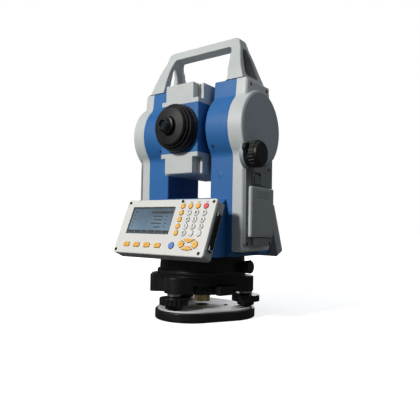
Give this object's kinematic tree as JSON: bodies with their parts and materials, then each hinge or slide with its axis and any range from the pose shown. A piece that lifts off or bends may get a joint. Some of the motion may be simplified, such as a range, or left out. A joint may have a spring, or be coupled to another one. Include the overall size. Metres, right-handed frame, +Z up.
{
  "type": "surveying total station",
  "caption": "Electronic theodolite with distance meter on a levelling tribrach: turning alidade, transiting telescope, two keypads and displays, side battery and carrying handle.",
  "frame": {"origin": "centre of the 5/8 inch centre thread at the base plate's flat underside, on the instrument's vertical axis", "axes": "+Z up along the vertical axis, -Y towards the operator's eyepiece and front display at rest, +X towards the battery and tangent-screw side"},
  "size_m": [0.1901, 0.189, 0.354],
  "materials": {
    "blue_paint": "satin powder-coated blue",
    "light_grey": "fine-textured light grey moulding",
    "dark_grey": "fine-textured dark grey moulding",
    "off_white": "satin off-white front panel",
    "shell_grey": "fine-textured mid grey moulding",
    "black_plastic": "black moulded knob plastic",
    "black_rubber": "matt black rubber",
    "black_paint": "black painted casting, light orange-peel",
    "bright_metal": "turned, bright",
    "steel": "ground steel",
    "screw_black": "blackened steel",
    "brass": "turned brass",
    "key_yellow": "soft-touch yellow silicone",
    "key_white": "soft-touch white silicone",
    "key_red": "soft-touch red silicone",
    "key_blue": "soft-touch blue silicone",
    "lcd": "liquid crystal display behind a clear window",
    "optic_glass": "coated optical glass",
    "level_glass": "vial glass over yellow-green liquid",
    "circuit": "circuit laminate"
  },
  "bodies": {
    "base": {"base_plate": "black_paint", "spring_plate": "bright_metal"},
    "foot_screw_1": {"foot_screw_1": "black_plastic"},
    "foot_screw_2": {"foot_screw_2": "black_plastic"},
    "foot_screw_3": {"foot_screw_3": "black_plastic"},
    "tribrach": {"tribrach_body": "black_paint", "foot_screw_bushes": "steel", "circular_level": "level_glass", "centring_socket": "brass", "instrument_base": "black_paint", "axis_sleeve": "steel", "horizontal_circle": "optic_glass"},
    "lock_lever": {"lock_lever": "black_paint"},
    "alidade": {"alidade_base": "black_paint", "vertical_axis": "steel", "alidade_frame": "blue_paint", "trunnion_bearings": "brass", "left_side_cover": "light_grey", "right_side_cover": "light_grey", "left_side_plate": "dark_grey", "right_side_plate": "dark_grey", "carrying_handle": "light_grey", "main_board": "circuit", "tilt_sensor": "steel", "plate_level": "black_plastic", "front_panel": "off_white", "front_back_shell": "shell_grey", "front_display": "lcd", "rear_panel": "off_white", "rear_back_shell": "shell_grey", "rear_display": "lcd", "case_screws": "screw_black"},
    "battery": {"battery": "light_grey"},
    "battery_latch": {"battery_latch": "black_plastic"},
    "vertical_clamp": {"vertical_clamp_lever": "black_plastic"},
    "vertical_tangent_screw": {"vertical_tangent_screw": "black_plastic"},
    "horizontal_clamp": {"horizontal_clamp_lever": "black_plastic"},
    "horizontal_tangent_screw": {"horizontal_tangent_screw": "black_plastic"},
    "port_cover": {"port_cover": "black_rubber"},
    "telescope": {"telescope_body": "blue_paint", "telescope_top_cover": "light_grey", "telescope_bottom_cover": "light_grey", "trunnion_shafts": "steel", "vertical_circle": "optic_glass", "objective_barrel": "black_plastic", "objective_lens": "optic_glass", "reticle": "optic_glass", "eyepiece_mount": "black_plastic"},
    "focusing_lens": {"focusing_lens": "optic_glass"},
    "focus_ring": {"focus_ring": "black_rubber"},
    "eyepiece": {"eyepiece": "black_plastic", "eyepiece_lens": "optic_glass"},
    "front_function_keys": {"front_function_keys": "key_yellow"},
    "front_number_keys": {"front_number_keys": "key_white"},
    "front_power_key": {"front_power_key": "key_red"},
    "front_shortcut_key": {"front_shortcut_key": "key_blue"},
    "front_navigation_key": {"front_navigation_key": "key_yellow"},
    "rear_function_keys": {"rear_function_keys": "key_yellow"},
    "rear_number_keys": {"rear_number_keys": "key_white"},
    "rear_navigation_key": {"rear_navigation_key": "key_yellow"}
  },
  "joints": [
    {"name": "foot_screw_1_turn", "type": "hinge", "parent": "base", "child": "foot_screw_1", "pos_m": [0, -0.057, 0.022], "axis": [0, 0, 1], "range_deg": [-362, 1802]},
    {"name": "foot_screw_2_turn", "type": "hinge", "parent": "base", "child": "foot_screw_2", "pos_m": [0.04936, 0.0285, 0.022], "axis": [0, 0, 1], "range_deg": [-362, 1802]},
    {"name": "foot_screw_3_turn", "type": "hinge", "parent": "base", "child": "foot_screw_3", "pos_m": [-0.04936, 0.0285, 0.022], "axis": [0, 0, 1], "range_deg": [-362, 1802]},
    {"name": "tribrach_lift", "type": "slide", "parent": "base", "child": "tribrach", "axis": [0, 0, 1], "range_m": [-0.001, 0.005]},
    {"name": "lock_lever_swing", "type": "hinge", "parent": "tribrach", "child": "lock_lever", "pos_m": [0, 0, 0.038], "axis": [0, 0, 1], "range_deg": [-25, 0]},
    {"name": "alidade_turn", "type": "hinge", "parent": "tribrach", "child": "alidade", "pos_m": [0, 0, 0.065], "axis": [0, 0, 1], "continuous": true},
    {"name": "telescope_turn", "type": "hinge", "parent": "alidade", "child": "telescope", "pos_m": [0, 0, 0.235], "axis": [1, 0, 0], "continuous": true},
    {"name": "focus_ring_turn", "type": "hinge", "parent": "telescope", "child": "focus_ring", "pos_m": [0, -0.0647, 0.235], "axis": [0, 1, 0], "range_deg": [-150, 150]},
    {"name": "focusing_lens_slide", "type": "slide", "parent": "telescope", "child": "focusing_lens", "axis": [0, 1, 0], "range_m": [-0.00601, 0.00601]},
    {"name": "eyepiece_turn", "type": "hinge", "parent": "telescope", "child": "eyepiece", "pos_m": [0, -0.078, 0.235], "axis": [0, 1, 0], "range_deg": [-170, 170]},
    {"name": "vertical_tangent_turn", "type": "hinge", "parent": "alidade", "child": "vertical_tangent_screw", "pos_m": [0.096, -0.027, 0.2002], "axis": [1, 0, 0], "range_deg": [-1440, 1440]},
    {"name": "vertical_clamp_turn", "type": "hinge", "parent": "alidade", "child": "vertical_clamp", "pos_m": [0.089, -0.027, 0.2002], "axis": [1, 0, 0], "range_deg": [-25, 45]},
    {"name": "horizontal_tangent_turn", "type": "hinge", "parent": "alidade", "child": "horizontal_tangent_screw", "pos_m": [0.065, 0.008, 0.065], "axis": [1, 0, 0], "range_deg": [-1440, 1440]},
    {"name": "horizontal_clamp_turn", "type": "hinge", "parent": "alidade", "child": "horizontal_clamp", "pos_m": [0.06, 0.008, 0.065], "axis": [1, 0, 0], "range_deg": [-45, 10]},
    {"name": "battery_slide", "type": "slide", "parent": "alidade", "child": "battery", "axis": [1, 0, 0], "range_m": [0, 0.045]},
    {"name": "battery_latch_slide", "type": "slide", "parent": "alidade", "child": "battery_latch", "axis": [0, 0, 1], "range_m": [0, 0.004]},
    {"name": "port_cover_hinge", "type": "hinge", "parent": "alidade", "child": "port_cover", "pos_m": [0.07, -0.06958, 0.10713], "axis": [0, 0.3891, 0.9212], "range_deg": [0, 100]},
    {"name": "front_function_keys_press", "type": "slide", "parent": "alidade", "child": "front_function_keys", "axis": [0, 0.9212, -0.3891], "range_m": [0, 0.0008]},
    {"name": "front_number_keys_press", "type": "slide", "parent": "alidade", "child": "front_number_keys", "axis": [0, 0.9212, -0.3891], "range_m": [0, 0.0008]},
    {"name": "front_power_key_press", "type": "slide", "parent": "alidade", "child": "front_power_key", "axis": [0, 0.9212, -0.3891], "range_m": [0, 0.0008]},
    {"name": "front_shortcut_key_press", "type": "slide", "parent": "alidade", "child": "front_shortcut_key", "axis": [0, 0.9212, -0.3891], "range_m": [0, 0.0008]},
    {"name": "front_navigation_key_press", "type": "slide", "parent": "alidade", "child": "front_navigation_key", "axis": [0, 0.9212, -0.3891], "range_m": [0, 0.0008]},
    {"name": "rear_function_keys_press", "type": "slide", "parent": "alidade", "child": "rear_function_keys", "axis": [0, -0.9212, -0.3891], "range_m": [0, 0.0008]},
    {"name": "rear_number_keys_press", "type": "slide", "parent": "alidade", "child": "rear_number_keys", "axis": [0, -0.9212, -0.3891], "range_m": [0, 0.0008]},
    {"name": "rear_navigation_key_press", "type": "slide", "parent": "alidade", "child": "rear_navigation_key", "axis": [0, -0.9212, -0.3891], "range_m": [0, 0.0008]}
  ],
  "couplings": [
    {"joint": "foot_screw_1_turn", "follows": "tribrach_lift", "rad_per_m": 6283.2},
    {"joint": "foot_screw_2_turn", "follows": "tribrach_lift", "rad_per_m": 6283.2},
    {"joint": "foot_screw_3_turn", "follows": "tribrach_lift", "rad_per_m": 6283.2},
    {"joint": "focusing_lens_slide", "follows": "focus_ring_turn", "m_per_rad": 0.0022918}
  ]
}
